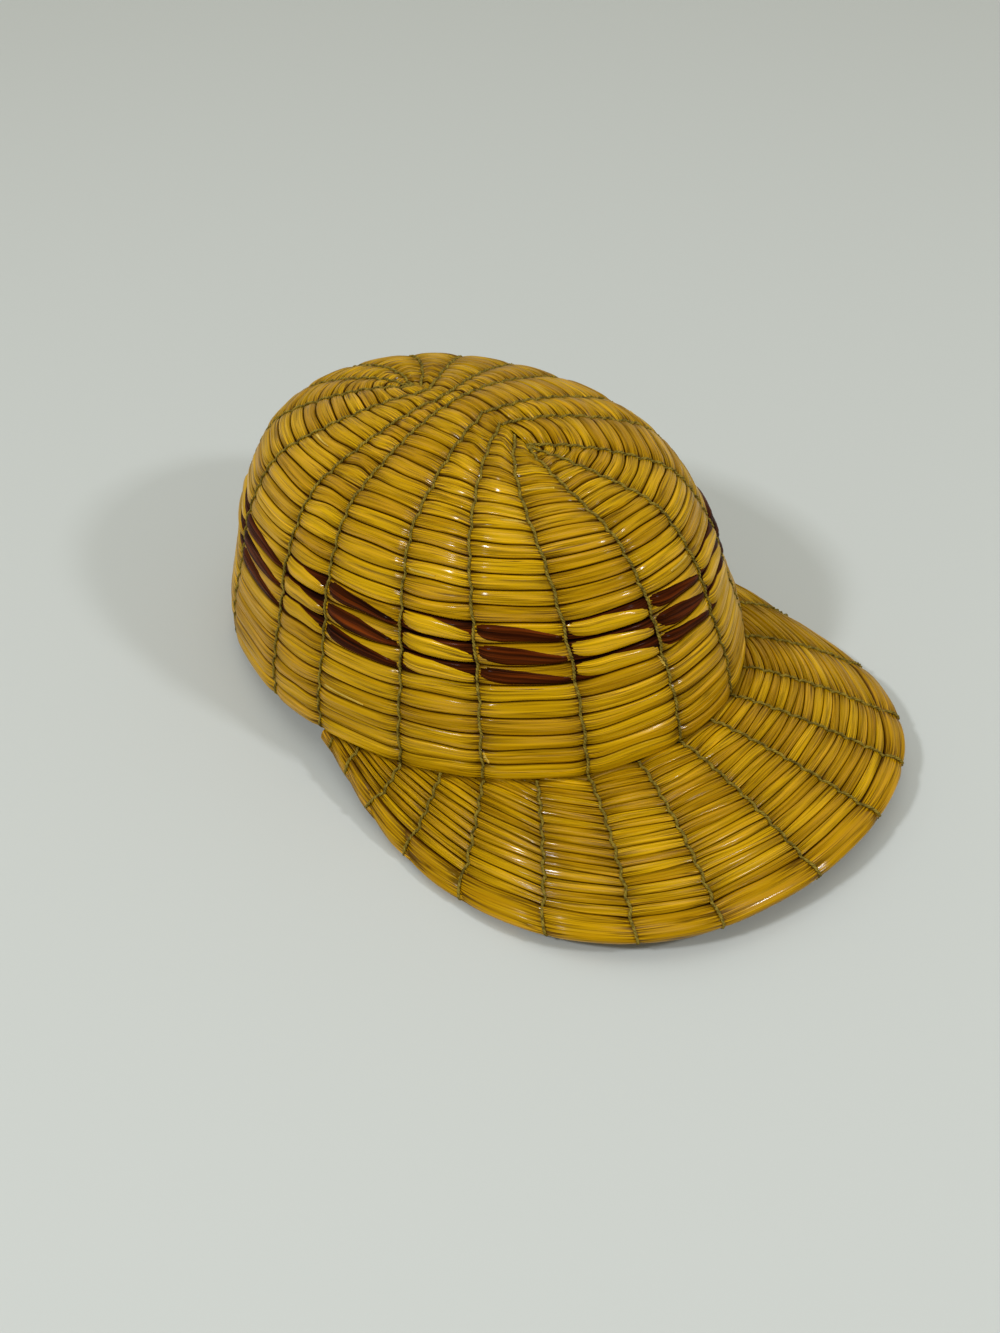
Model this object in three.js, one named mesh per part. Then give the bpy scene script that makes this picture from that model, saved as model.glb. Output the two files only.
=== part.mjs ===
// Sun cap of coiled straw: an oval crown wound in rows from a straight ridge on top, a crescent peak
// sewn to its bottom row, and dyed strips laid over three rows. Millimetres, +Z up, the peak points to -Y.
import * as THREE from 'three';

// Crown: outside of the coiled wall, measured from the middle of the rim
const HALF_LENGTH = 104.5;
const HALF_WIDTH = 81.8;
const WALL = 4.8;
const ROW_DEPTH = 1.6;
const STITCH_DEPTH = 0.8;
const FRONT_POLE = { reach: 32.9, sink: 7.2 };
const REAR_POLE = { reach: 23, sink: 2.3 };
const POLE_START = 0.65;

// Cross profile of the crown from the ridge down to the rim
const PROFILE = [
  { out: 0, up: 91 },
  { out: 16.5, up: 89.3 },
  { out: 37.4, up: 83.2 },
  { out: 55, up: 74 },
  { out: 67.5, up: 54.3 },
  { out: 74, up: 33.3 },
  { out: 79.9, up: 14.9 },
  { out: 81.8, up: 0 },
];

// Coil rows in three bands, each ending at a share of the way from ridge to rim
const BANDS = [
  { rows: 15, end: 0.591 },
  { rows: 3, end: 0.748 },
  { rows: 6, end: 1 },
];
const DYED_BAND = 1;

// Stitch lines around the crown, in degrees from the front, at the ridge and at the rim
const STITCH_LINES = [
  { ridge: -113.6, rim: -126 },
  { ridge: -98, rim: -102 },
  { ridge: -91, rim: -88 },
  { ridge: -77.7, rim: -69 },
  { ridge: -67.4, rim: -52 },
  { ridge: -54, rim: -30 },
  { ridge: -26, rim: -6 },
  { ridge: 2, rim: 15.5 },
  { ridge: 32, rim: 37 },
  { ridge: 67.4, rim: 57 },
  { ridge: 77.7, rim: 75 },
  { ridge: 91, rim: 92 },
  { ridge: 98, rim: 109 },
  { ridge: 113.6, rim: 127 },
  { ridge: 126, rim: 148 },
  { ridge: 154, rim: 170 },
  { ridge: 182, rim: 191 },
  { ridge: 212, rim: 213 },
];
const SWIRL_POWER = 2.6;
const COLUMNS_PER_SEGMENT = 3;

// Peak: outer edge from the middle of the front round to one tip
const PEAK_EDGE = [
  { side: 0, front: 161.5, drop: 22.4 },
  { side: 30.9, front: 157.8, drop: 22.3 },
  { side: 58.6, front: 146.2, drop: 22 },
  { side: 79.7, front: 124.8, drop: 21.9 },
  { side: 90.8, front: 94.3, drop: 21.9 },
  { side: 91.5, front: 54.6, drop: 18.5 },
  { side: 82.3, front: 4.9, drop: 3 },
];
const PEAK_TURN = 87.5;
const PEAK_ROWS = 16;
const PEAK_EDGE_SHARE = 0.12;
const PEAK_CREST = 1.9;
const PEAK_VALLEY = 1.1;
const PEAK_ROLL = 3.2;
const PEAK_BULGE = 3;
const PEAK_SEAM = -0.9;
const PEAK_SINK = 0.8;
const PEAK_RINGS = 36;
const PEAK_UNDER_STEPS = 6;
const PEAK_ROLL_STEPS = 5;
const PEAK_FULL_WIDTH = 22;

// Dyed strips: thin bands lying on the rows
const STRIP_GAP = 0.4;
const STRIP_THICKNESS = 0.8;
const STRIP_ENDS = [0.05, 1 / 3, 2 / 3, 0.95];
const STRIP_TOP_START = -0.8;
const STRIP_TOP_END = -0.12;
const STRIP_BOTTOM = 0.8;

// The cap lies tipped back on the rear rim and on both sides of the peak
const REST_PITCH = 6.98;

// Looks: waxy golden straw, and the same straw dyed brown
const STRAW = { color: 0xc8960a, roughness: 0.42, metalness: 0 };
const DYED_STRAW = { color: 0x5a2410, roughness: 0.46, metalness: 0 };

const { degToRad, lerp } = THREE.MathUtils;

// Closed solid from rings of points that join ring to ring; collapsed triangles are left out
function solidFromRings(name, rings, look, capped) {
  const corners = [];
  const face = (...points) => {
    const [a, b, c] = points;
    const flat = a.distanceTo(b) < 1e-6 || b.distanceTo(c) < 1e-6 || c.distanceTo(a) < 1e-6;
    if (!flat) corners.push(a, b, c);
  };
  const quad = (a, b, c, d) => {
    face(a, b, c);
    face(a, c, d);
  };
  for (let i = 0; i + 1 < rings.length; i += 1) {
    const near = rings[i];
    const far = rings[i + 1];
    near.forEach((point, j) => {
      const next = (j + 1) % near.length;
      quad(point, far[j], far[next], near[next]);
    });
  }
  if (capped) {
    const first = rings[0];
    const last = rings[rings.length - 1];
    const end = first.length - 1;
    for (let j = 0; j + 1 < first.length / 2; j += 1) {
      quad(first[j], first[j + 1], first[end - j - 1], first[end - j]);
      quad(last[j + 1], last[j], last[end - j], last[end - j - 1]);
    }
  }
  const geometry = new THREE.BufferGeometry().setFromPoints(corners);
  geometry.computeVertexNormals();
  const mesh = new THREE.Mesh(geometry, new THREE.MeshStandardMaterial(look));
  mesh.name = name;
  return mesh;
}

const profile = new THREE.SplineCurve(PROFILE.map(({ out, up }) => new THREE.Vector2(out, up)));

// Smooth outside of the crown: turn goes round from the front, fall goes from ridge to rim
function skin(turn, fall) {
  const { x: out, y: up } = profile.getPointAt(fall);
  const spread = out / HALF_WIDTH;
  const cosine = Math.cos(turn);
  const power = lerp(2, 1.3, spread);
  const reached = 1 - (1 - Math.abs(cosine)) ** power;
  const along = fall === 0 && reached > POLE_START ? 1 : reached;
  const pole = cosine > 0 ? FRONT_POLE : REAR_POLE;
  const stretch = lerp(pole.reach, HALF_LENGTH - HALF_WIDTH, spread) * along * Math.sign(cosine);
  const sink = pole.sink * along ** 2 * (1 - spread);
  return new THREE.Vector3(out * Math.sin(turn), -out * cosine - stretch, up - sink);
}

function skinNormal(turn, fall) {
  if (fall === 0) return new THREE.Vector3(0, 0, 1);
  const step = 1e-3;
  const high = Math.min(fall + step, 1);
  const down = skin(turn, high).sub(skin(turn, high - 2 * step));
  const round = skin(turn + step, fall).sub(skin(turn - step, fall));
  return down.cross(round).normalize();
}

// Angle of a column of the crown; the stitch lines swirl toward the ridge
function columnTurn(column, fall) {
  const line = Math.floor(column / COLUMNS_PER_SEGMENT);
  const share = column / COLUMNS_PER_SEGMENT - line;
  const swirl = (1 - fall) ** SWIRL_POWER;
  const lineTurn = (index) => {
    const { ridge, rim } = STITCH_LINES[index % STITCH_LINES.length];
    const lap = index < STITCH_LINES.length ? 0 : 360;
    return degToRad(lerp(rim, ridge, swirl) + lap);
  };
  return lerp(lineTurn(line), lineTurn(line + 1), share);
}

function crownPoint(column, fall, depth) {
  const turn = columnTurn(column, fall);
  return skin(turn, fall).addScaledVector(skinNormal(turn, fall), -depth);
}

// Stations down the wall: a valley at each row's edge and a crest on its middle
const rowEdges = [0];
BANDS.forEach(({ rows, end }) => {
  const start = rowEdges[rowEdges.length - 1];
  for (let row = 1; row <= rows; row += 1) rowEdges.push(lerp(start, end, row / rows));
});
const stations = [{ fall: 0, crest: false }];
for (let row = 1; row < rowEdges.length; row += 1) {
  stations.push({ fall: (rowEdges[row - 1] + rowEdges[row]) / 2, crest: true });
  stations.push({ fall: rowEdges[row], crest: false });
}

const columns = Array.from({ length: STITCH_LINES.length * COLUMNS_PER_SEGMENT }, (_, index) => index);
const crownOutside = stations.map(({ fall, crest }) => columns.map((column) => {
  const stitched = column % COLUMNS_PER_SEGMENT === 0 ? STITCH_DEPTH : 0;
  return crownPoint(column, fall, crest ? stitched : ROW_DEPTH);
}));
const insideFalls = PROFILE.map((_, index) => 1 - index / (PROFILE.length - 1));
const crownInside = insideFalls.map((fall) => columns.map((column) => crownPoint(column, fall, WALL)));

function makeCrown() {
  return solidFromRings('crown', [...crownOutside, ...crownInside], STRAW, false);
}

const edgeHalf = PEAK_EDGE.map(({ side, front, drop }) => new THREE.Vector3(side, -front, -drop));
const edgeOther = edgeHalf.slice(1).map((point) => new THREE.Vector3(-point.x, point.y, point.z));
const peakEdge = new THREE.CatmullRomCurve3([...edgeOther.reverse(), ...edgeHalf], false, 'catmullrom', 0.5);

// Middle surface of the peak: along goes from tip to tip, across from the crown to the edge
function peakMiddle(along, across) {
  const turn = degToRad(PEAK_TURN) * along;
  const outward = skinNormal(turn, 1).setZ(0).normalize();
  const seam = skin(turn, 1).addScaledVector(outward, PEAK_SEAM);
  seam.z -= PEAK_SINK;
  const edge = peakEdge.getPoint((along + 1) / 2);
  const share = Math.min(1, seam.distanceTo(edge) / PEAK_FULL_WIDTH);
  const point = seam.clone().lerp(edge, across);
  point.z += PEAK_BULGE * share * 4 * across * (1 - across);
  return { point, share };
}

function peakPoint(along, across, height) {
  const step = 1e-3;
  const { point, share } = peakMiddle(along, across);
  const out = peakMiddle(along, Math.min(across + step, 1)).point;
  out.sub(peakMiddle(along, Math.min(across + step, 1) - 2 * step).point);
  const round = peakMiddle(along + step, across).point.sub(peakMiddle(along - step, across).point);
  const normal = round.cross(out).normalize();
  if (normal.z < 0) normal.negate();
  return point.addScaledVector(normal, height * share);
}

function peakRing(along) {
  const rowsEnd = 1 - PEAK_EDGE_SHARE;
  const top = [];
  for (let step = 0; step <= 2 * PEAK_ROWS; step += 1) {
    const height = step % 2 === 1 ? PEAK_CREST : PEAK_VALLEY;
    top.push(peakPoint(along, rowsEnd * step / (2 * PEAK_ROWS), height));
  }
  const roll = [];
  for (let step = 1; step < 2 * PEAK_ROLL_STEPS; step += 1) {
    const angle = Math.PI * step / PEAK_ROLL_STEPS / 2;
    const across = 1 - PEAK_EDGE_SHARE * (1 - Math.sin(angle)) / 2;
    roll.push(peakPoint(along, across, PEAK_ROLL * Math.cos(angle)));
  }
  const under = [];
  for (let step = PEAK_UNDER_STEPS; step >= 0; step -= 1) {
    under.push(peakPoint(along, rowsEnd * step / PEAK_UNDER_STEPS, -PEAK_CREST));
  }
  return [...top, ...roll, ...under];
}

function makePeak() {
  const rings = [];
  for (let ring = 1; ring < PEAK_RINGS; ring += 1) {
    rings.push(peakRing(Math.cos(Math.PI * ring / PEAK_RINGS)));
  }
  const tip = (ring) => {
    const middle = new THREE.Vector3();
    ring.forEach((point) => middle.addScaledVector(point, 1 / ring.length));
    return ring.map(() => middle);
  };
  return solidFromRings('peak', [tip(rings[0]), ...rings, tip(rings[rings.length - 1])], STRAW, false);
}

// Point on the crown's faceted outside: share runs along a segment, level from a row's upper to lower edge
function facetPoint(segment, share, row, level, lift) {
  const column = (segment + share) * COLUMNS_PER_SEGMENT;
  const first = Math.floor(column);
  const part = column - first;
  const crest = 2 * row - 1;
  const edge = level < 0 ? crest - 1 : crest + 1;
  const pick = (station) => {
    const near = crownOutside[station][first];
    const far = crownOutside[station][(first + 1) % columns.length];
    return near.clone().lerp(far, part);
  };
  const fall = lerp(stations[crest].fall, stations[edge].fall, Math.abs(level));
  const normal = skinNormal(columnTurn(column, fall), fall);
  return pick(crest).lerp(pick(edge), Math.abs(level)).addScaledVector(normal, lift);
}

function makeStrip(row, segment) {
  const rings = STRIP_ENDS.map((share) => {
    const levels = [lerp(STRIP_TOP_START, STRIP_TOP_END, share), 0, STRIP_BOTTOM];
    const under = levels.map((level) => facetPoint(segment, share, row, level, STRIP_GAP));
    const over = levels.map((level) => facetPoint(segment, share, row, level, STRIP_GAP + STRIP_THICKNESS));
    return [...under, ...over.reverse()];
  });
  return solidFromRings(`dyed_strip_${row}_${segment + 1}`, rings, DYED_STRAW, true);
}

function makeStrips() {
  const rowsAbove = BANDS[DYED_BAND - 1].rows;
  const strips = [];
  for (let row = rowsAbove + 1; row <= rowsAbove + BANDS[DYED_BAND].rows; row += 1) {
    for (let segment = 0; segment < STITCH_LINES.length; segment += 2) strips.push(makeStrip(row, segment));
  }
  return strips;
}

// Assembly: tipped to its rest, then set with the middle of its box and its lowest point on the origin
const tipped = new THREE.Group();
tipped.rotation.x = -degToRad(REST_PITCH);
tipped.add(makeCrown(), makePeak(), ...makeStrips());
const box = new THREE.Box3().setFromObject(tipped, true);
const middle = box.getCenter(new THREE.Vector3());
tipped.position.set(-middle.x, -middle.y, -box.min.z);

const cap = new THREE.Group();
cap.name = 'sun_cap';
cap.add(tipped);

export default cap;
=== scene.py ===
import math

import bmesh
import bpy
import numpy as np
from mathutils import Matrix, Vector


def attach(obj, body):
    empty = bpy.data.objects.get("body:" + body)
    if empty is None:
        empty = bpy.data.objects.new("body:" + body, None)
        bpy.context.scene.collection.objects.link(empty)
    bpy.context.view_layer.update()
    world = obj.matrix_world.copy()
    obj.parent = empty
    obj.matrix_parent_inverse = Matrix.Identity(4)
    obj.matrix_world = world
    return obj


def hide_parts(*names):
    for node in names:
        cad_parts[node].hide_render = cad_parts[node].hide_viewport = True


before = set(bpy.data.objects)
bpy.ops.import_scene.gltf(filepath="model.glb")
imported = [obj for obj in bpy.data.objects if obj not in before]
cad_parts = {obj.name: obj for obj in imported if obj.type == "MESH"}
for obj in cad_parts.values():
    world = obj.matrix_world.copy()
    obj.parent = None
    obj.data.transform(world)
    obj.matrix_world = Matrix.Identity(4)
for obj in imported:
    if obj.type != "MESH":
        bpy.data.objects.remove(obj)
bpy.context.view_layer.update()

# Crown rows
# Thick bundles of golden straw, coiled in an oval from a straight ridge on top down to the rim.
# A stitch line draws every bundle tight, and between two lines it swells into a plump cell.
CROWN_HALF_LENGTH = 104.5
CROWN_HALF_WIDTH = 81.8
CROWN_WALL = 4.8
FRONT_POLE_REACH, FRONT_POLE_SINK = 32.9, 7.2
REAR_POLE_REACH, REAR_POLE_SINK = 23.0, 2.3
CROWN_PROFILE_OUT_UP = (
    (0, 91), (16.5, 89.3), (37.4, 83.2), (55, 74), (67.5, 54.3), (74, 33.3), (79.9, 14.9), (81.8, 0),
)
ROW_BANDS_COUNT_END = ((15, 0.591), (3, 0.748), (6, 1.0))
DYED_ROWS = (15, 16, 17)
STITCH_LINES_RIDGE_RIM = (
    (-113.6, -126), (-98, -102), (-91, -88), (-77.7, -69), (-67.4, -52), (-54, -30),
    (-26, -6), (2, 15.5), (32, 37), (67.4, 57), (77.7, 75), (91, 92),
    (98, 109), (113.6, 127), (126, 148), (154, 170), (182, 191), (212, 213),
)
SEGMENTS = len(STITCH_LINES_RIDGE_RIM)
SWIRL_POWER = 2.6
OVAL_POWER, OVAL_POWER_DROP = 2, 0.7
PROFILE_STEPS = 1401
RIDGE_FALL = 0.0004
REST_PITCH = math.radians(6.98)
REST_SHIFT = np.array((0.0, 29.703, 12.686))
MM = 0.001
CELL_STRAIGHTNESS = 0.55
ROW_WOBBLE = 0.0016
ROW_WOBBLE_TURNS = (4, 16)
CELL_WOBBLE = 0.0028
SHORTEST_CELL = 3.0
CELL_SWELL_SPREAD = 0.05
PLUMP_HALF = 2.75
PINCHED_HALF = 1.7
PINCH_REACH, PINCH_POWER = 3.0, 1.4
STITCH_SQUARE, SWOLLEN_SQUARE = 2.3, 1.6
PLEAT_DEPTH, PLEAT_REACH = 0.6, 3.4
PLEAT_SWING, PLEAT_SINK = 0.25, 0.5
STRAW_RIDGE, NARROW_RIDGE = 0.1, 0.8
RELIEF_WAVES = (5, 11, 17, 23)
OUTER_SIDES, INNER_SIDES = 24, 8
LONG_CELL_STEPS, SHORT_CELL_STEPS = 14, 8
SHORT_CELL_ROWS = 6
STITCH_CROWDING = 0.6
SPIN_RADIUS, SPIN_SPACING = 3, 4
RIDGE_SEGMENTS = (0, 1, 2, 3, 4, 4, 4, 4, 13, 13, 13, 13)
RIDGE_PARTNERS = (12, 11, 10, 9, 5, 6, 7, 8, 14, 15, 16, 17)
CROWN_PIECE_ENDS = (0, 10, 17, 24)

straw_random = np.random.default_rng(11)


def smooth_line(points, where, reflect_ends):
    points = np.asarray(points, float)
    before = 2 * points[0] - points[1] if reflect_ends else points[0]
    after = 2 * points[-1] - points[-2] if reflect_ends else points[-1]
    knots = np.vstack([before, points, after])
    first = np.clip(where.astype(int), 0, len(points) - 2)
    part = (where - first)[..., None]
    a, b, c, d = (knots[first + step] for step in range(4))
    leave, arrive = (c - a) / 2, (d - b) / 2
    cubic = 2 * b - 2 * c + leave + arrive
    square = 3 * c - 3 * b - 2 * leave - arrive
    return ((cubic * part + square) * part + leave) * part + b


profile_where = np.linspace(0, len(CROWN_PROFILE_OUT_UP) - 1, PROFILE_STEPS)
profile_line = smooth_line(CROWN_PROFILE_OUT_UP, profile_where, False)
profile_steps = np.hypot(*np.diff(profile_line, axis=0).T)
profile_fall = np.concatenate([[0], np.cumsum(profile_steps)]) / profile_steps.sum()


def crown_skin(turn, fall):
    out = np.interp(fall, profile_fall, profile_line[:, 0])
    up = np.interp(fall, profile_fall, profile_line[:, 1])
    spread = out / CROWN_HALF_WIDTH
    cosine = np.cos(turn)
    along = np.sign(cosine) * (1 - (1 - np.abs(cosine)) ** (OVAL_POWER - OVAL_POWER_DROP * spread))
    reach = np.where(cosine > 0, FRONT_POLE_REACH, REAR_POLE_REACH)
    sink = np.where(cosine > 0, FRONT_POLE_SINK, REAR_POLE_SINK)
    stretch = reach + (CROWN_HALF_LENGTH - CROWN_HALF_WIDTH - reach) * spread
    height = up - sink * along ** 2 * (1 - spread)
    return np.stack([out * np.sin(turn), -out * cosine - stretch * along, height], axis=-1)


def unit(vectors):
    return vectors / np.linalg.norm(vectors, axis=-1, keepdims=True)


def crown_outward(turn, fall):
    step = 2e-3
    fall = np.clip(fall, 2 * step, 1 - step)
    down = crown_skin(turn, fall + step) - crown_skin(turn, fall - step)
    around = crown_skin(turn + step, fall) - crown_skin(turn - step, fall)
    return unit(np.cross(down, around))


def at_rest(points):
    cosine, sine = math.cos(REST_PITCH), math.sin(REST_PITCH)
    x, y, z = points[..., 0], points[..., 1], points[..., 2]
    turned = np.stack([x, y * cosine + z * sine, z * cosine - y * sine], axis=-1)
    return (turned + REST_SHIFT) * MM


line_ridge, line_rim = np.radians(np.array(STITCH_LINES_RIDGE_RIM)).T
line_ridge = np.append(line_ridge, line_ridge[0] + 2 * math.pi)
line_rim = np.append(line_rim, line_rim[0] + 2 * math.pi)


def line_turn(line, fall):
    return line_rim[line] + (line_ridge[line] - line_rim[line]) * (1 - fall) ** SWIRL_POWER


row_edges = [0.0]
for band_rows, band_end in ROW_BANDS_COUNT_END:
    row_edges += list(np.linspace(row_edges[-1], band_end, band_rows + 1)[1:])
row_edges = np.array(row_edges)
ROWS = len(row_edges) - 1
wobble_turns = np.arange(*ROW_WOBBLE_TURNS)
wobble_shape = (ROWS + 1, len(wobble_turns))
wobble_phase = straw_random.uniform(0, 2 * math.pi, wobble_shape)
wobble_size = straw_random.normal(0, 1, wobble_shape) / math.sqrt(len(wobble_turns) / 2)
cell_wobble = straw_random.normal(0, CELL_WOBBLE, (ROWS + 1, SEGMENTS))
wobble_size[[0, ROWS]] = 0
cell_wobble[[0, ROWS]] = 0


def segment_place(column):
    column = np.mod(column, SEGMENTS)
    line = np.minimum(column.astype(int), SEGMENTS - 1)
    return line, column - line


def row_edge(edge, column):
    angle = column[..., None] / SEGMENTS * 2 * math.pi * wobble_turns + wobble_phase[edge]
    line, share = segment_place(column)
    bulge = cell_wobble[edge, line] * np.sin(math.pi * share) ** 2
    return row_edges[edge] + ROW_WOBBLE * (wobble_size[edge] * np.sin(angle)).sum(-1) + bulge


def row_point(row, column, across, height):
    column = np.mod(column, SEGMENTS)
    upper, lower = row_edge(row, column), row_edge(row + 1, column)
    fall = np.clip((upper + lower) / 2 + across * (lower - upper) / 2, RIDGE_FALL, 1)
    line, share = segment_place(column)
    start, end = line_turn(line, fall), line_turn(line + 1, fall)
    turn = start + (end - start) * share
    bent = crown_skin(turn, fall)
    begin = crown_skin(start, fall)
    straight = begin + (crown_skin(end, fall) - begin) * share[..., None]
    middle = bent + (straight - bent) * CELL_STRAIGHTNESS
    return middle + crown_outward(turn, fall) * (height - CROWN_WALL / 2)[..., None]


cell_middle = (row_edges[1:] + row_edges[:-1])[:, None] / 2 + np.zeros((1, SEGMENTS))
cell_line = np.arange(SEGMENTS)[None] + np.zeros((ROWS, 1), int)
cell_span = crown_skin(line_turn(cell_line + 1, cell_middle), cell_middle)
cell_span = cell_span - crown_skin(line_turn(cell_line, cell_middle), cell_middle)
cell_length = np.maximum(np.linalg.norm(cell_span, axis=-1), SHORTEST_CELL)
cell_swell = 1 + straw_random.normal(0, CELL_SWELL_SPREAD, (ROWS, SEGMENTS))
cell_tint = straw_random.random((ROWS, SEGMENTS))


def swollen(from_stitch):
    return 1 - np.exp(-((from_stitch / PINCH_REACH) ** PINCH_POWER))


def bundle_shape(row, column):
    line, share = segment_place(column)
    from_stitch = np.minimum(share, 1 - share) * cell_length[row, line]
    swell = swollen(from_stitch)
    half = PINCHED_HALF + (PLUMP_HALF * cell_swell[row, line] - PINCHED_HALF) * swell
    return half, STITCH_SQUARE + SWOLLEN_SQUARE * swell, from_stitch


def arched(across, square):
    return np.maximum(1 - np.abs(across) ** square, 0) ** (1 / square)


def stitch_pull(from_stitch):
    return np.exp(-from_stitch / PLEAT_REACH)


def straw_relief(across, from_stitch, phases):
    waves = [np.sin(count * across + phases[..., wave]) for wave, count in enumerate(RELIEF_WAVES)]
    ridges = waves[0] + NARROW_RIDGE * waves[1]
    pleats = waves[2] + waves[3]
    pull = stitch_pull(from_stitch)
    return STRAW_RIDGE * ridges * (1 - pull) + PLEAT_DEPTH * (PLEAT_SWING * pleats - PLEAT_SINK) * pull


cell_phases = straw_random.uniform(0, 2 * math.pi, (ROWS, SEGMENTS, len(RELIEF_WAVES)))
for segment, across_ridge in zip(RIDGE_SEGMENTS, RIDGE_PARTNERS):
    for table in (cell_swell, cell_tint, cell_phases):
        table[0, across_ridge] = table[0, segment]


def from_row_middle(row, across):
    return np.where(row == 0, (across + 1) / 2, across)


def bundle_height(row, column, across):
    line, _ = segment_place(column)
    half, square, from_stitch = bundle_shape(row, column)
    arch = arched(from_row_middle(row, across), square)
    return half * arch + straw_relief(across, from_stitch, cell_phases[row, line]) * arch


def made_mesh(name, shape):
    mesh = bpy.data.meshes.new(name)
    shape.to_mesh(mesh)
    shape.free()
    return mesh


def spun_tubes(ring_steps, full_turn):
    tubes = bmesh.new()
    for ring, steps in enumerate(ring_steps):
        tube = bmesh.new()
        stand = Matrix.Translation((SPIN_RADIUS, 0, 0)) @ Matrix.Rotation(math.pi / 2, 4, "X")
        circle = bmesh.ops.create_circle(tube, segments=OUTER_SIDES + INNER_SIDES, radius=1, matrix=stand)
        bmesh.ops.spin(
            tube, geom=circle["verts"] + tube.edges[:], cent=(0, 0, 0), axis=(0, 0, 1), dvec=(0, 0, 0),
            angle=2 * math.pi if full_turn else math.pi, steps=steps, use_merge=full_turn,
        )
        bmesh.ops.translate(tube, vec=(0, 0, SPIN_SPACING * ring), verts=tube.verts)
        tube_mesh = made_mesh("tube", tube)
        tubes.from_mesh(tube_mesh)
        bpy.data.meshes.remove(tube_mesh)
    return made_mesh("tubes", tubes)


def mesh_points(mesh):
    points = np.empty(len(mesh.vertices) * 3, np.float32)
    mesh.vertices.foreach_get("co", points)
    return points.reshape(-1, 3)


def tube_places(mesh, ring_steps, full_turn):
    x, y, z = mesh_points(mesh).astype(float).T
    ring = np.round(z / SPIN_SPACING).astype(int)
    steps = np.array(ring_steps)[ring]
    turn = np.mod(np.arctan2(y, x), 2 * math.pi) if full_turn else np.arctan2(y, x)
    share = turn / (2 * math.pi) if full_turn else np.abs(turn) / math.pi
    station = np.round(share * steps).astype(int)
    station = station % steps if full_turn else station
    sides = OUTER_SIDES + INNER_SIDES
    side_turn = np.arctan2(z - SPIN_SPACING * ring, np.hypot(x, y) - SPIN_RADIUS)
    side = np.round(side_turn / (2 * math.pi) * sides)
    return ring, station, side.astype(int) % sides


side_index = np.arange(OUTER_SIDES + INNER_SIDES)
side_outer = side_index <= OUTER_SIDES
outer_across = np.cos(math.pi * side_index / OUTER_SIDES)
inner_across = -np.cos(math.pi * (side_index - OUTER_SIDES) / INNER_SIDES)
side_across = np.where(side_outer, outer_across, inner_across)
side_sign = np.where(side_outer, 1.0, -1.0)
side_uv = np.where(side_outer, (1 - side_across) / 2, 1 + (1 + side_across) / 2)


def set_points(mesh, points):
    mesh.vertices.foreach_set("co", points.astype(np.float32).ravel())
    shaped = bmesh.new()
    shaped.from_mesh(mesh)
    bmesh.ops.recalc_face_normals(shaped, faces=shaped.faces)
    shaped.to_mesh(mesh)
    shaped.free()


def corner_arrays(mesh):
    corners = np.empty(len(mesh.loops), np.int32)
    mesh.loops.foreach_get("vertex_index", corners)
    starts = np.empty(len(mesh.polygons), np.int32)
    mesh.polygons.foreach_get("loop_start", starts)
    totals = np.empty(len(mesh.polygons), np.int32)
    mesh.polygons.foreach_get("loop_total", totals)
    return corners, np.repeat(np.arange(len(starts)), totals), starts


def add_values(mesh, name, domain, values):
    mesh.attributes.new(name, "FLOAT", domain).data.foreach_set("value", values.astype(np.float32))


def cell_share(step, steps):
    even = step / steps
    return even + STITCH_CROWDING * (0.5 - 0.5 * np.cos(math.pi * even) - even)


def add_row_map(mesh, along, across):
    uv = np.stack([along, across], 1)
    mesh.uv_layers.new(name="row").data.foreach_set("uv", uv.astype(np.float32).ravel())


def mark_cells(mesh, station, steps, side, cell_steps):
    corners, faces, starts = corner_arrays(mesh)
    low = np.minimum.reduceat(station[corners], starts)
    high = np.maximum.reduceat(station[corners], starts)
    face_steps = steps[corners[starts]]
    wraps = (high - low) > 1
    low = np.where(wraps, high, low)
    cell = low // cell_steps[corners[starts]]
    corner_station = station[corners]
    corner_station = np.where(wraps[faces] & (corner_station == 0), face_steps[faces], corner_station)
    inside = corner_station - cell[faces] * cell_steps[corners]
    along = cell_share(inside, cell_steps[corners])
    across = side_uv[side[corners]]
    side_low = np.minimum.reduceat(side[corners], starts)
    side_high = np.maximum.reduceat(side[corners], starts)
    closing = (side_high - side_low) > 1
    across = np.where(closing[faces] & (side[corners] == 0), 2.0, across)
    add_row_map(mesh, along, across)
    return cell, corners[starts]


def placed(name, data):
    holder = bpy.data.objects.new(name, data)
    bpy.context.scene.collection.objects.link(holder)
    return holder


def new_piece(name, mesh, material):
    mesh.name = name
    mesh.shade_smooth()
    piece = placed(name, mesh)
    mesh.materials.clear()
    mesh.materials.append(material)
    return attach(piece, "root")


def wire(tree, kind, sockets, **settings):
    node = tree.nodes.new(kind)
    for setting, value in settings.items():
        setattr(node, setting, value)
    for socket, value in sockets.items():
        if isinstance(value, bpy.types.NodeSocket):
            tree.links.new(value, node.inputs[socket])
        else:
            node.inputs[socket].default_value = value
    return node


FIBRE_ROUGHNESS, NOISE_MIDDLE, SPLIT_DETAIL = 0.6, 0.5, 0.5
FINE_SHARE, COARSE_SHARE = 0.4, 0.6
BREAK_LEVEL, BREAK_STRENGTH = 0.42, 3.4
PLEATS_ACROSS, PLEAT_WANDER = 40.0, 11.0
FOLD_LEVEL, FOLD_STRENGTH = 0.55, 3.0
PINCH_CREASES = 1.3
STREAK_HEIGHT, CREASE_SINK = 0.6, 0.7


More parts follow.
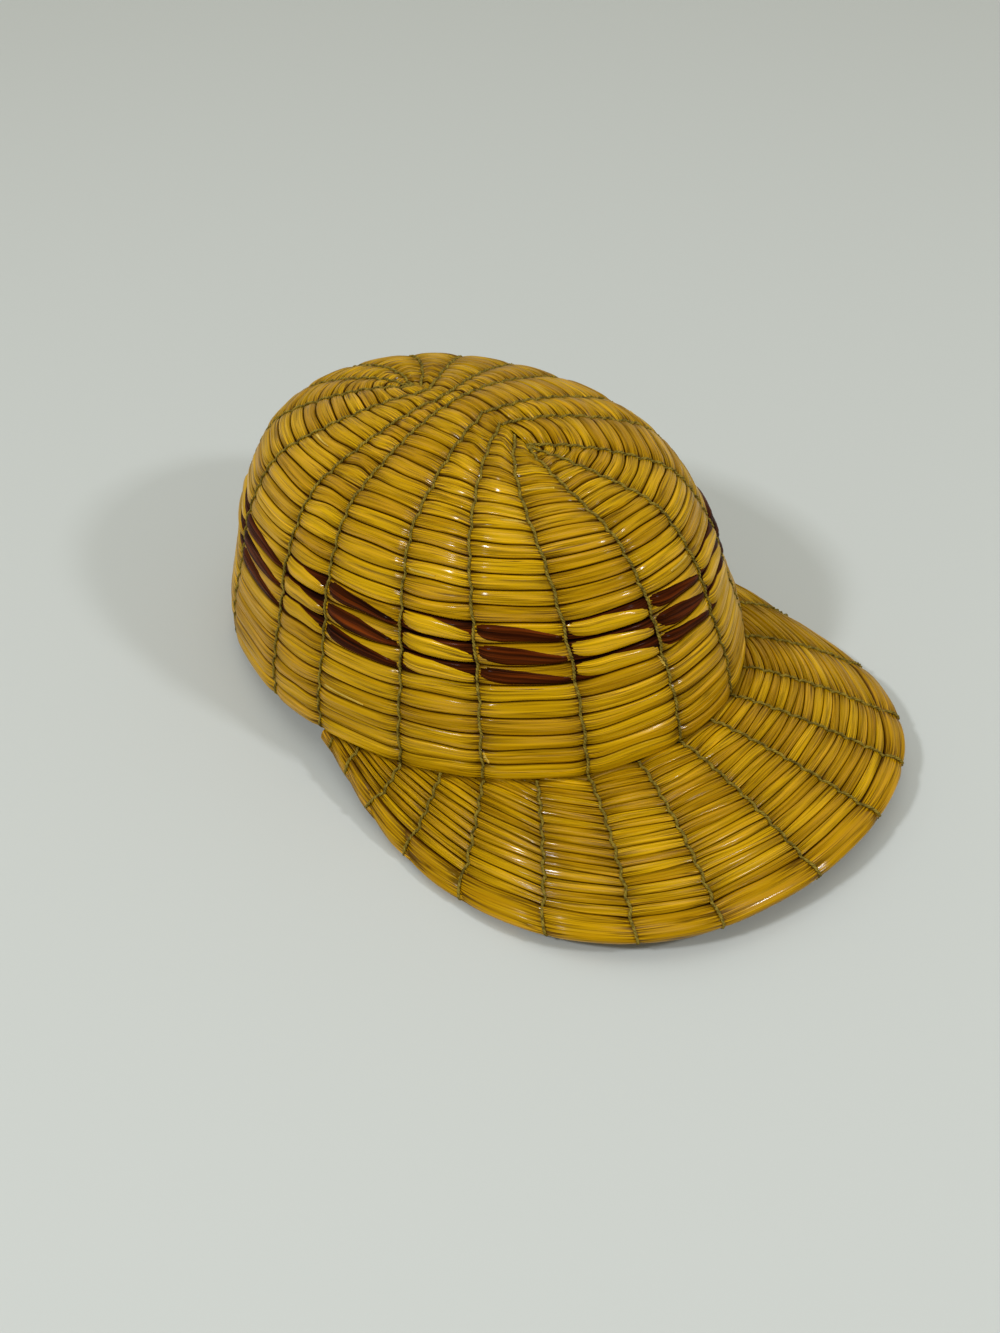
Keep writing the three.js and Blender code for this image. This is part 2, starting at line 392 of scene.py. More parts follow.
def fibre_group():
    group = bpy.data.node_groups.new("straw_fibres", "ShaderNodeTree")
    for name in ("Along", "Across", "Tint", "Pinch"):
        group.interface.new_socket(name, in_out="INPUT", socket_type="NodeSocketFloat")
    for name in ("Streak", "Broad", "Crease", "Height"):
        group.interface.new_socket(name, in_out="OUTPUT", socket_type="NodeSocketFloat")
    given = wire(group, "NodeGroupInput", {}).outputs

    def reckon(operation, *values):
        return wire(group, "ShaderNodeMath", dict(enumerate(values)), operation=operation).outputs[0]

    def stretched_noise(along_scale, across_scale, tint_scale, detail):
        place = wire(group, "ShaderNodeCombineXYZ", {
            "X": reckon("MULTIPLY", given["Along"], along_scale),
            "Y": reckon("MULTIPLY", given["Across"], across_scale),
            "Z": reckon("MULTIPLY", given["Tint"], tint_scale),
        })
        noise = wire(group, "ShaderNodeTexNoise", {
            "Vector": place.outputs[0], "Scale": 1.0, "Detail": detail, "Roughness": FIBRE_ROUGHNESS,
        })
        return noise.outputs["Fac"]

    def split_lines(along_scale, across_scale, tint_scale, sharpness):
        noise = stretched_noise(along_scale, across_scale, tint_scale, SPLIT_DETAIL)
        away = reckon("ABSOLUTE", reckon("SUBTRACT", noise, NOISE_MIDDLE))
        return reckon("MAXIMUM", reckon("SUBTRACT", 1.0, reckon("MULTIPLY", away, sharpness)), 0.0)

    def above(value, level, strength):
        return reckon("MULTIPLY", reckon("MAXIMUM", reckon("SUBTRACT", value, level), 0.0), strength)

    fine = stretched_noise(along_scale=0.8, across_scale=24.0, tint_scale=47.0, detail=3.0)
    coarse = stretched_noise(along_scale=0.45, across_scale=6.5, tint_scale=71.0, detail=1.5)
    streak = reckon("ADD", reckon("MULTIPLY", fine, FINE_SHARE), reckon("MULTIPLY", coarse, COARSE_SHARE))
    broad = stretched_noise(along_scale=0.9, across_scale=3.2, tint_scale=61.0, detail=1.0)
    breaks = stretched_noise(along_scale=1.6, across_scale=4.0, tint_scale=29.0, detail=1.0)
    long_splits = split_lines(along_scale=0.4, across_scale=6.0, tint_scale=83.0, sharpness=26.0)
    short_splits = split_lines(along_scale=0.6, across_scale=12.0, tint_scale=53.0, sharpness=18.0)
    splits = reckon("MAXIMUM", long_splits, short_splits)
    strong = above(breaks, BREAK_LEVEL, BREAK_STRENGTH)
    even_pleats = reckon("MULTIPLY", given["Across"], PLEATS_ACROSS)
    pleat_place = reckon("ADD", even_pleats, reckon("MULTIPLY", broad, PLEAT_WANDER))
    fold = above(reckon("SINE", pleat_place), FOLD_LEVEL, FOLD_STRENGTH)
    dark = reckon("MULTIPLY", fold, given["Pinch"])
    reach = reckon("ADD", reckon("MULTIPLY", given["Pinch"], PINCH_CREASES), strong)
    # Crease lines from the splits and the folds near the stitches: they sink the bump, and the material
    # darkens them as painted shade.
    crease = reckon("MINIMUM", reckon("MAXIMUM", reckon("MULTIPLY", splits, reach), dark), 1.0)
    raised = reckon("MULTIPLY", streak, STREAK_HEIGHT)
    height = reckon("SUBTRACT", raised, reckon("MULTIPLY", crease, CREASE_SINK))
    wire(group, "NodeGroupOutput", {"Streak": streak, "Broad": broad, "Crease": crease, "Height": height})
    return group


straw_fibres = fibre_group()


def mixed(tree, blend, factor, first, second):
    sockets = {0: factor, 6: first, 7: second}
    return wire(tree, "ShaderNodeMix", sockets, data_type="RGBA", blend_type=blend).outputs[2]


def ramped(tree, value, low, high, low_to, high_to):
    node = wire(tree, "ShaderNodeMapRange", {
        "Value": value, "From Min": low, "From Max": high, "To Min": low_to, "To Max": high_to,
    })
    return node.outputs[0]


def new_material(name):
    material = bpy.data.materials.new(name)
    material.use_nodes = True
    return material, material.node_tree.nodes["Principled BSDF"]


BROAD_SPAN, STREAK_SPAN, WAX_SPAN = (0.3, 0.7), (0.36, 0.64), (0.46, 0.62)
# The next two lines set painted shade: how far the dark groove colour is mixed into pinched stitch ends, the
# sides of each bundle towards the grooves, and creases.
PINCH_SPAN, PAINTED_SHADE_SPAN = (0.8, 1), (0.16, 0.4)
CREASE_SHADE, PINCH_SHADE = 0.88, 0.25
STREAK_ROUGH, STREAK_SMOOTH = 0.52, 0.32
FIBRE_BUMP, FIBRE_BUMP_HEIGHT = 0.6, 0.0005
THIN_WAX, WAX_ROUGHNESS = 0.03, 0.15


def straw_material(
    name, pale, deep, groove_shade, tint_dark, tint_light, streak_dark, streak_light, shine, gloss, wax,
):
    material, shader = new_material(name)
    tree = material.node_tree
    row_map = wire(tree, "ShaderNodeUVMap", {}, uv_map="row")
    place = wire(tree, "ShaderNodeSeparateXYZ", {"Vector": row_map.outputs[0]})
    marks = {
        mark: wire(tree, "ShaderNodeAttribute", {}, attribute_name=mark).outputs["Fac"]
        for mark in ("tint", "pinch", "depth")
    }
    fibres = wire(tree, "ShaderNodeGroup", {}, node_tree=straw_fibres)
    fibre_inputs = (place.outputs[0], place.outputs[1], marks["tint"], marks["pinch"])
    for socket, value in zip(("Along", "Across", "Tint", "Pinch"), fibre_inputs):
        tree.links.new(value, fibres.inputs[socket])
    colour = mixed(tree, "MIX", ramped(tree, fibres.outputs["Broad"], *BROAD_SPAN, 0, 1), deep, pale)
    colour = mixed(tree, "MULTIPLY", 1.0, colour, mixed(tree, "MIX", marks["tint"], tint_dark, tint_light))
    streak = ramped(tree, fibres.outputs["Streak"], *STREAK_SPAN, streak_dark, streak_light)
    shade = wire(tree, "ShaderNodeCombineColor", {"Red": streak, "Green": streak, "Blue": streak})
    colour = mixed(tree, "MULTIPLY", 1.0, colour, shade.outputs[0])
    # Painted shade: crease and fold lines are darkened towards the groove colour.
    colour = mixed(tree, "MIX", ramped(tree, fibres.outputs["Crease"], 0, 1, 0, CREASE_SHADE), colour, groove_shade)
    # Painted shade: darker where the stitch pulls the bundle in.
    colour = mixed(tree, "MIX", ramped(tree, marks["pinch"], *PINCH_SPAN, 0, PINCH_SHADE), colour, groove_shade)
    # Painted shade: the groove colour fills the sides of each bundle towards the grooves between rows.
    colour = mixed(tree, "MIX", ramped(tree, marks["depth"], *PAINTED_SHADE_SPAN, 0, 1), colour, groove_shade)
    tree.links.new(colour, shader.inputs["Base Color"])
    roughness = ramped(tree, fibres.outputs["Streak"], *STREAK_SPAN, STREAK_ROUGH, STREAK_SMOOTH)
    tree.links.new(roughness, shader.inputs["Roughness"])
    bump = wire(tree, "ShaderNodeBump", {
        "Height": fibres.outputs["Height"], "Strength": FIBRE_BUMP, "Distance": FIBRE_BUMP_HEIGHT,
    })
    tree.links.new(bump.outputs[0], shader.inputs["Normal"])
    shader.inputs["Specular IOR Level"].default_value = gloss
    shader.inputs["Specular Tint"].default_value = shine
    waxy = ramped(tree, fibres.outputs["Broad"], *WAX_SPAN, THIN_WAX, wax)
    tree.links.new(waxy, shader.inputs["Coat Weight"])
    shader.inputs["Coat Roughness"].default_value = WAX_ROUGHNESS
    shader.inputs["Coat Tint"].default_value = shine
    return material


straw_pale = (0.63, 0.376, 0.002, 1)
straw_deep = (0.435, 0.224, 0.001, 1)
# Painted shade: the near-black colour mixed into grooves between rows, creases, pinched stitch ends and leaf
# edges.
straw_groove_shade = (0.06, 0.02, 0.0005, 1)
straw_dim, straw_bright = (0.79, 0.73, 0.55, 1), (1.15, 1.18, 1.3, 1)
straw_shine = (1, 0.82, 0.06, 1)
golden_straw = straw_material(
    "golden_straw", straw_pale, straw_deep, straw_groove_shade, straw_dim, straw_bright,
    streak_dark=0.77, streak_light=1.13, shine=straw_shine, gloss=0.24, wax=0.5,
)
brown_pale = (0.1, 0.0195, 0.0015, 1)
brown_deep = (0.022, 0.0035, 0.0005, 1)
# Painted shade: the near-black colour mixed into the brown straw's grooves, creases and pinched stitch ends.
brown_groove_shade = (0.006, 0.001, 0.0004, 1)
brown_dim, brown_bright = (0.75, 0.7, 0.65, 1), (1.25, 1.2, 1.1, 1)
brown_shine = (1, 0.55, 0.25, 1)
brown_straw = straw_material(
    "brown_straw", brown_pale, brown_deep, brown_groove_shade, brown_dim, brown_bright,
    streak_dark=0.1, streak_light=1.9, shine=brown_shine, gloss=0.03, wax=0.04,
)


def crown_piece(name, first_row, last_row):
    rows = np.arange(first_row, last_row)
    cell_steps = np.where(rows < SHORT_CELL_ROWS, SHORT_CELL_STEPS, LONG_CELL_STEPS)
    ring_steps = cell_steps * SEGMENTS
    mesh = spun_tubes([int(steps) for steps in ring_steps], True)
    ring, station, side = tube_places(mesh, ring_steps, True)
    row = rows[ring]
    column = station // cell_steps[ring] + cell_share(station % cell_steps[ring], cell_steps[ring])
    across = side_across[side]
    height = bundle_height(row, column, across) * side_sign[side]
    set_points(mesh, at_rest(row_point(row, column, across, height)))
    _, square, from_stitch = bundle_shape(row, column)
    add_values(mesh, "pinch", "POINT", stitch_pull(from_stitch))
    # Painted shade mask: dark towards the grooves down each bundle's sides, left off the outer side of the
    # rim row.
    bare_rim = (row == ROWS - 1) & (across > 0)
    depth = 1 - arched(from_row_middle(row, across), square)
    add_values(mesh, "depth", "POINT", np.where(bare_rim, 0, depth))
    cell, face_corner = mark_cells(mesh, station, ring_steps[ring], side, cell_steps[ring])
    face_row = row[face_corner]
    add_values(mesh, "tint", "FACE", cell_tint[face_row, cell])
    piece = new_piece(name, mesh, golden_straw)
    dyed = np.isin(face_row, DYED_ROWS) & (cell % 2 == 1)
    if dyed.any():
        mesh.materials.append(brown_straw)
        mesh.polygons.foreach_set("material_index", dyed.astype(np.int32))
    return piece


crown_piece("crown_top_rows", *CROWN_PIECE_ENDS[0:2])
crown_piece("crown_shoulder_rows", *CROWN_PIECE_ENDS[1:3])
crown_wall = crown_piece("crown_wall_rows", *CROWN_PIECE_ENDS[2:4])
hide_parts("crown")

# Dyed leaves
# In three rows a brown and a golden strand twist round each other, so each cell shows one as a slanting
# leaf over the other. The leaves lie on the rows and are tucked in at their edges.
LEAF_LENGTH_STEPS, LEAF_WIDTH_STEPS = 22, 10
LEAF_LIFT, LEAF_TUCK = 0.6, 0.35
LEAF_THICKNESS = 0.5
LEAF_ROUNDING, LEAF_TIP_RISE = 3, 7
LEAF_RELIEF, LEAF_RELIEF_SPAN = 0.4, 3
# The edge shade is painted shade: the leaves darken across their outer part towards the edges tucked into the
# row.
LEAF_FLAT_SHARE, LEAF_EDGE_SHADE = 0.72, 2.4
ROW_SIDE = 0.97
BROWN_LEAF_TOP = ((0, 0), (0.25, 0), (0.5, 0.13), (0.75, 0.38), (1, 0.66))
BROWN_LEAF_BOTTOM = ((0, 0.62), (0.12, 0.82), (0.3, 1), (1, 1))
GOLD_LEAF_TOP = ((0, 0), (0.45, 0), (0.75, 0.22), (1, 0.5))
GOLD_LEAF_BOTTOM = ((0, 0.72), (0.15, 0.88), (0.3, 1), (1, 1))
BROWN_LEAF_TINTS, GOLD_LEAF_TINTS = (0.1, 0.9), (0.6, 1.1)


def ribbon_mesh(name, count):
    ribbons = bmesh.new()
    for _ in range(count):
        bmesh.ops.create_grid(ribbons, x_segments=LEAF_LENGTH_STEPS, y_segments=LEAF_WIDTH_STEPS, size=0.5)
    mesh = made_mesh(name, ribbons)
    ribbon = np.arange(len(mesh.vertices)) // ((LEAF_LENGTH_STEPS + 1) * (LEAF_WIDTH_STEPS + 1))
    along, level = (mesh_points(mesh)[:, :2].astype(float) + 0.5).T
    return mesh, ribbon, along, level


def ribbon_piece(name, mesh, points, ribbon, along, level, pinch, edge_shade, tints, material):
    mesh.vertices.foreach_set("co", points.astype(np.float32).ravel())
    corners, _, starts = corner_arrays(mesh)
    add_row_map(mesh, along[corners], level[corners])
    # Painted shade along each leaf's tucked edges, outside its flat middle share.
    shade = np.maximum(np.abs(2 * level - 1) - LEAF_FLAT_SHARE, 0)
    add_values(mesh, "pinch", "POINT", pinch)
    add_values(mesh, "depth", "POINT", shade * edge_shade)
    add_values(mesh, "tint", "FACE", tints[ribbon[corners[starts]]])
    shaped = bmesh.new()
    shaped.from_mesh(mesh)
    bmesh.ops.recalc_face_normals(shaped, faces=shaped.faces)
    bmesh.ops.solidify(shaped, geom=shaped.faces[:], thickness=LEAF_THICKNESS * MM)
    bmesh.ops.recalc_face_normals(shaped, faces=shaped.faces)
    shaped.to_mesh(mesh)
    shaped.free()
    return new_piece(name, mesh, material)


def leaf_piece(name, cells, top_table, bottom_table, tints, material):
    mesh, leaf, along, level = ribbon_mesh(name, len(cells))
    row, segment = np.array(cells)[leaf].T
    top = np.interp(along, *np.array(top_table).T)
    bottom = np.interp(along, *np.array(bottom_table).T)
    across = np.clip(2 * (top + (bottom - top) * level) - 1, -ROW_SIDE, ROW_SIDE)
    tip = np.minimum(np.minimum(along, 1 - along) * LEAF_TIP_RISE, 1) ** 0.5
    lift = (LEAF_LIFT + LEAF_TUCK) * (1 - np.abs(2 * level - 1) ** LEAF_ROUNDING) * tip - LEAF_TUCK
    _, _, from_stitch = bundle_shape(row, segment + along)
    lift = lift + straw_relief(LEAF_RELIEF_SPAN * level, from_stitch, leaf_phases[leaf]) * LEAF_RELIEF
    height = bundle_height(row, segment + along, across) + lift
    points = at_rest(row_point(row, segment + along, across, height))
    pinch = stitch_pull(from_stitch)
    return ribbon_piece(name, mesh, points, leaf, along, level, pinch, LEAF_EDGE_SHADE, tints, material)


brown_cells = [(row, segment) for row in DYED_ROWS for segment in range(0, SEGMENTS, 2)]
gold_cells = [(row, segment) for row in DYED_ROWS for segment in range(1, SEGMENTS, 2)]
leaf_phases = straw_random.uniform(0, 2 * math.pi, (len(brown_cells), len(RELIEF_WAVES)))
brown_tints = straw_random.uniform(*BROWN_LEAF_TINTS, len(brown_cells))
gold_tints = straw_random.uniform(*GOLD_LEAF_TINTS, len(gold_cells))
brown_leaves = leaf_piece(
    "brown_leaves", brown_cells, BROWN_LEAF_TOP, BROWN_LEAF_BOTTOM, brown_tints, brown_straw,
)
gold_leaves = leaf_piece("gold_leaves", gold_cells, GOLD_LEAF_TOP, GOLD_LEAF_BOTTOM, gold_tints, golden_straw)
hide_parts(*[f"dyed_strip_{row + 1}_{segment + 1}" for row, segment in brown_cells])

# Peak rows
# Thinner bundles of the same straw, laid side by side along the outer edge, with a thick round one as the
# edge itself. The inner ones run out one after another where they meet the crown, and all are sewn to it.
PEAK_EDGE_SIDE_FRONT_DROP = (
    (0, 161.5, 22.4), (30.9, 157.8, 22.3), (58.6, 146.2, 22), (79.7, 124.8, 21.9),
    (90.8, 94.3, 21.9), (91.5, 54.6, 18.5), (82.3, 4.9, 3),
)
PEAK_EDGE_SKEW = (0, -1, -1.5, -1.5, -1.2, -0.8, -0.5, -0.5, -1, -2, -3.5, -4, -2)
PEAK_EDGE_PUSH = (0, 0, 0, 0.4, 1, 1.5, 1.5, 1.5, 1, 0, -1, -1, 0)
PEAK_TURN = math.radians(87.5)
PEAK_BULGE = 3.0
PEAK_SEAM = -0.9
PEAK_SINK = 0.8
PEAK_FULL_WIDTH = 22.0
SEAM_LIFT = -0.8
SEAM_LIFT_REACH = 7.0
# Painted shade on the peak rows beside the seam, where they run under the crown.
SEAM_SHADE, SEAM_SHADE_REACH, SEAM_SHADE_FADE = 0.3, 3.0, 1.6
SEAM_TUCK = 3.2
EDGE_ROW_WIDTH = 8.0
PEAK_ROW_WIDTH = 3.3
PEAK_ROWS = 18
SIDE_SPREAD, SPREAD_FROM, SPREAD_OVER = 0.42, 0.35, 0.5
PEAK_WAVE, PEAK_WAVE_TURNS, PEAK_WAVE_RATE = 0.16, (3, 14), 3
ROW_END_ROOM = 0.006
LINE_ROUNDS = 20
HALF_PEAK_FROM_TO, HALF_PEAK_STEPS = (0.3, 0.999), 600
PEAK_PLUMP, PEAK_PINCHED = 2.05, 1.45
EDGE_PLUMP, EDGE_PINCHED = 3.1, 2.2
EDGE_SCALLOP, SCALLOP_REACH = 0.7, 2.5
EDGE_TINT = 0.3
PEAK_SWELL_SPREAD = 0.08
PEAK_RELIEF, EDGE_RELIEF = 0.7, 1.3
PEAK_STITCH_SQUARE, PEAK_SWOLLEN_SQUARE = 2.8, 1.6
PEAK_SIDE_ROUNDING = 2.9
PEAK_STRAIGHTNESS = 0.6
NO_STITCH = 60.0
PEAK_CELL_STEPS = 10
PEAK_HALF_RUN = 130.0
PEAK_LINES_TURN_EDGE = (
    (-84.5, -0.985), (-78.5, -0.95), (-69, -0.906), (-60.5, -0.828), (-52, -0.719), (-41, -0.567),
    (-30, -0.414), (-18, -0.266), (-6, -0.063), (4.75, 0.122), (15.5, 0.275), (27, 0.41),
    (39, 0.572), (52, 0.755), (63, 0.86), (73, 0.93), (82, 0.975),
)
PEAK_LINES = len(PEAK_LINES_TURN_EDGE)

peak_edge = np.array([(side, -front, -drop) for side, front, drop in PEAK_EDGE_SIDE_FRONT_DROP])
peak_edge = np.vstack([peak_edge[:0:-1] * (-1, 1, 1), peak_edge])
peak_edge = peak_edge + np.outer(PEAK_EDGE_SKEW, (1, 0, 0)) + np.outer(PEAK_EDGE_PUSH, (0, -1, 0))


def peak_sides(along):
    turn = PEAK_TURN * along
    rim = np.ones_like(turn)
    outward = unit(crown_outward(turn, rim) * (1, 1, 0))
    seam = crown_skin(turn, rim) + outward * PEAK_SEAM - np.array((0, 0, PEAK_SINK))
    edge = smooth_line(peak_edge, (along + 1) / 2 * (len(peak_edge) - 1), True)
    return seam, edge


def peak_width(along):
    seam, edge = peak_sides(along)
    return np.linalg.norm(edge - seam, axis=-1)


def peak_middle(along, across):
    seam, edge = peak_sides(along)
    width = np.linalg.norm(edge - seam, axis=-1)
    share = np.minimum(1, width / PEAK_FULL_WIDTH)
    point = seam + (edge - seam) * across[..., None]
    near_seam = np.clip(1 - across * width / SEAM_LIFT_REACH, 0, 1) ** 2
    lift = PEAK_BULGE * 4 * across * (1 - across) + SEAM_LIFT * near_seam
    point[..., 2] += share * lift
    return point, share


def peak_point(along, across, height):
    step = 1e-3
    point, share = peak_middle(along, across)
    out = peak_middle(along, across + step)[0] - peak_middle(along, across - step)[0]
    around = peak_middle(along + step, across)[0] - peak_middle(along - step, across)[0]
    normal = unit(np.cross(around, out))
    normal = normal * np.sign(normal[..., 2:])
    return point + normal * (height * share)[..., None]


peak_offsets = np.append(0, EDGE_ROW_WIDTH + PEAK_ROW_WIDTH * np.arange(PEAK_ROWS))


def row_spread(along):
    part = np.clip((np.abs(along) - SPREAD_FROM) / SPREAD_OVER, 0, 1)
    return 1 + SIDE_SPREAD * part * part * (3 - 2 * part)


peak_random = np.random.default_rng(5)
peak_wave_turns = np.arange(*PEAK_WAVE_TURNS)
peak_wave_phase = peak_random.uniform(0, 2 * math.pi, (PEAK_ROWS + 1, len(peak_wave_turns)))
peak_wave_size = peak_random.normal(0, PEAK_WAVE, (PEAK_ROWS + 1, len(peak_wave_turns)))
peak_wave_size[0] = 0


def peak_offset(row, along):
    angle = along[..., None] * PEAK_WAVE_RATE * peak_wave_turns + peak_wave_phase[row]
    return peak_offsets[row] * row_spread(along) + (peak_wave_size[row] * np.sin(angle)).sum(-1)


half_peak = np.linspace(*HALF_PEAK_FROM_TO, HALF_PEAK_STEPS)
half_peak_room = np.minimum.accumulate(peak_width(half_peak) / row_spread(half_peak))
peak_line_seam = np.array([turn for turn, _ in PEAK_LINES_TURN_EDGE]) / math.degrees(PEAK_TURN)
peak_line_edge = np.array([edge for _, edge in PEAK_LINES_TURN_EDGE])


def on_line(seam, edge, offset):
    along = edge + 0 * offset
    for _ in range(LINE_ROUNDS):
        share = np.clip(1 - offset * row_spread(along) / peak_width(along), 0, 1)
        along = seam + (edge - seam) * share
    return along


def peak_row_stations(row):
    reach = np.interp(SEAM_TUCK - peak_offsets[row], -half_peak_room, half_peak)
    middle = (peak_offsets[row] + peak_offsets[row + 1]) / 2
    lines = on_line(peak_line_seam, peak_line_edge, np.full(PEAK_LINES, middle))
    inside = lines[np.abs(lines) < reach - ROW_END_ROOM]
    return np.concatenate([[-reach], inside, [reach]])


peak_stations = [peak_row_stations(row) for row in range(PEAK_ROWS)]
peak_cells = np.array([len(stations) - 1 for stations in peak_stations])
peak_knots = np.zeros((PEAK_ROWS, PEAK_LINES + 2))
for knots, stations in zip(peak_knots, peak_stations):
    knots[:len(stations)] = stations
peak_tint = peak_random.random((PEAK_ROWS, PEAK_LINES + 1))
peak_tint[0] *= EDGE_TINT
peak_swell = 1 + peak_random.normal(0, PEAK_SWELL_SPREAD, (PEAK_ROWS, PEAK_LINES + 1))
peak_phases = peak_random.uniform(0, 2 * math.pi, (PEAK_ROWS, PEAK_LINES + 1, len(RELIEF_WAVES)))


def peak_share(row, along, across, scallop):
    outer = peak_offset(row, along) + scallop
    inner = peak_offset(row + 1, along)
    width = peak_width(along)
    return np.clip(1 - (inner + (outer - inner) * (1 + across) / 2) / width, -SEAM_TUCK / width, 1)


peak_steps = peak_cells * PEAK_CELL_STEPS
peak_mesh = spun_tubes([int(steps) for steps in peak_steps], False)
peak_row, peak_station, peak_side = tube_places(peak_mesh, peak_steps, False)
peak_column = peak_station // PEAK_CELL_STEPS + cell_share(peak_station % PEAK_CELL_STEPS, PEAK_CELL_STEPS)
peak_across = side_across[peak_side]
peak_cell = np.minimum(peak_column.astype(int), peak_cells[peak_row] - 1)
in_cell = peak_column - peak_cell
cell_begin, cell_end = peak_knots[peak_row, peak_cell], peak_knots[peak_row, peak_cell + 1]
peak_along = cell_begin + (cell_end - cell_begin) * in_cell
first_cell, last_cell = peak_cell == 0, peak_cell == peak_cells[peak_row] - 1
cell_size = (cell_end - cell_begin) * PEAK_HALF_RUN
from_begin = np.where(first_cell, NO_STITCH, in_cell * cell_size)
from_end = np.where(last_cell, NO_STITCH, (1 - in_cell) * cell_size)
peak_from_stitch = np.minimum(from_begin, from_end)
swelling = swollen(peak_from_stitch)
plump = np.where(peak_row == 0, EDGE_PLUMP, PEAK_PLUMP) * peak_swell[peak_row, peak_cell]
pinched = np.where(peak_row == 0, EDGE_PINCHED, PEAK_PINCHED)
side_rounding = PEAK_SIDE_ROUNDING * (row_spread(peak_along) - 1)
peak_arch = arched(peak_across, PEAK_STITCH_SQUARE + (PEAK_SWOLLEN_SQUARE - side_rounding) * swelling)
peak_relief = straw_relief(peak_across, peak_from_stitch, peak_phases[peak_row, peak_cell])
peak_relief = peak_relief * np.where(peak_row == 0, EDGE_RELIEF, PEAK_RELIEF)
peak_height = (pinched + (plump - pinched) * swelling + peak_relief) * peak_arch * side_sign[peak_side]
scallop = np.where(peak_row == 0, EDGE_SCALLOP * np.exp(-peak_from_stitch / SCALLOP_REACH), 0)
bent, begin_point, end_point = (
    peak_point(along, peak_share(peak_row, along, peak_across, scallop), peak_height)
    for along in (peak_along, cell_begin, cell_end)
)
from_seam = peak_share(peak_row, peak_along, peak_across, scallop) * peak_width(peak_along)
# Painted shade that fades out within a few millimetres of the seam.
seam_shade = SEAM_SHADE * np.clip((SEAM_SHADE_REACH - from_seam) / SEAM_SHADE_FADE, 0, 1)
straight = begin_point + (end_point - begin_point) * in_cell[:, None]
straightness = np.where(first_cell | last_cell, 0, PEAK_STRAIGHTNESS)[:, None]
set_points(peak_mesh, at_rest(bent + (straight - bent) * straightness))
add_values(peak_mesh, "pinch", "POINT", stitch_pull(peak_from_stitch))
# Painted shade mask: dark towards the grooves down each bundle's sides and beside the seam, left off the
# outer side of the edge row.
bare_edge = (peak_row == 0) & (peak_across > 0)
add_values(peak_mesh, "depth", "POINT", np.where(bare_edge, 0, np.maximum(1 - peak_arch, seam_shade)))
peak_cell_steps = np.full(len(peak_row), PEAK_CELL_STEPS)
face_cell, face_corner = mark_cells(peak_mesh, peak_station, peak_steps[peak_row], peak_side, peak_cell_steps)
add_values(peak_mesh, "tint", "FACE", peak_tint[peak_row[face_corner], face_cell])
peak_piece = new_piece("peak_rows", peak_mesh, golden_straw)
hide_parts("peak")

# Bare strands
# Paler ends of single straws that have slipped out of their bundles, on the rows that held them. Each is
# still caught at one end, and the other has sprung up a little.
STRANDS_ROW_COLUMNS_LEVELS_WIDTH = (
    (18, 5.945, 5.985, -0.7, 0.25, 0.45), (22, 4.02, 4.07, -0.5, 0.55, 0.4), (12, 3.08, 3.5, 0.25, 0.5, 0.13),
    (8, 4.92, 4.5, -0.45, -0.15, 0.12), (20, 2.1, 2.6, 0.3, 0.62, 0.13), (14, 6.9, 6.5, -0.5, -0.2, 0.14),
    (5, 5.1, 5.7, 0.1, 0.45, 0.12), (10, 9.1, 9.6, 0.2, 0.5, 0.12), (19, 11.9, 11.3, -0.3, 0.05, 0.14),
    (13, 14.1, 14.7, 0.3, 0.6, 0.13), (21, 16.9, 16.4, -0.2, 0.2, 0.14), (7, 0.1, 0.6, 0.2, 0.5, 0.12),
)
STRAND_LIE, STRAND_SPRING, STRAND_TAPER = 0.1, 0.35, 0.7
STRAND_TINTS = (0.5, 1)

bare_pale, bare_deep = (0.75, 0.55, 0.13, 1), (0.62, 0.4, 0.05, 1)
# Bare strands get the same painted shade colour in their creases as the golden straw.
bare_straw = straw_material(
    "bare_straw", bare_pale, bare_deep, straw_groove_shade, straw_dim, straw_bright,
    streak_dark=0.7, streak_light=1.15, shine=straw_shine, gloss=0.24, wax=0.5,
)
strand_table = np.array(STRANDS_ROW_COLUMNS_LEVELS_WIDTH)
strand_mesh, strand, strand_along, strand_level = ribbon_mesh("bare_strands", len(strand_table))
strand_row, column_from, column_to, level_from, level_to, strand_half = strand_table[strand].T
strand_row = strand_row.astype(int)
strand_column = column_from + (column_to - column_from) * strand_along
strand_taper = strand_half * (1 - STRAND_TAPER * strand_along ** 2)
strand_across = level_from + (level_to - level_from) * strand_along + strand_taper * (2 * strand_level - 1)
strand_across = np.clip(strand_across, -ROW_SIDE, ROW_SIDE)
strand_height = bundle_height(strand_row, strand_column, strand_across)
strand_height = strand_height + STRAND_LIE + STRAND_SPRING * strand_along ** 3
strand_points = at_rest(row_point(strand_row, strand_column, strand_across, strand_height))
strand_tints = np.linspace(*STRAND_TINTS, len(strand_table))
bare_strands = ribbon_piece(
    "bare_strands", strand_mesh, strand_points, strand, strand_along, strand_level,
    pinch=np.zeros(len(strand)), edge_shade=0, tints=strand_tints, material=bare_straw,
)

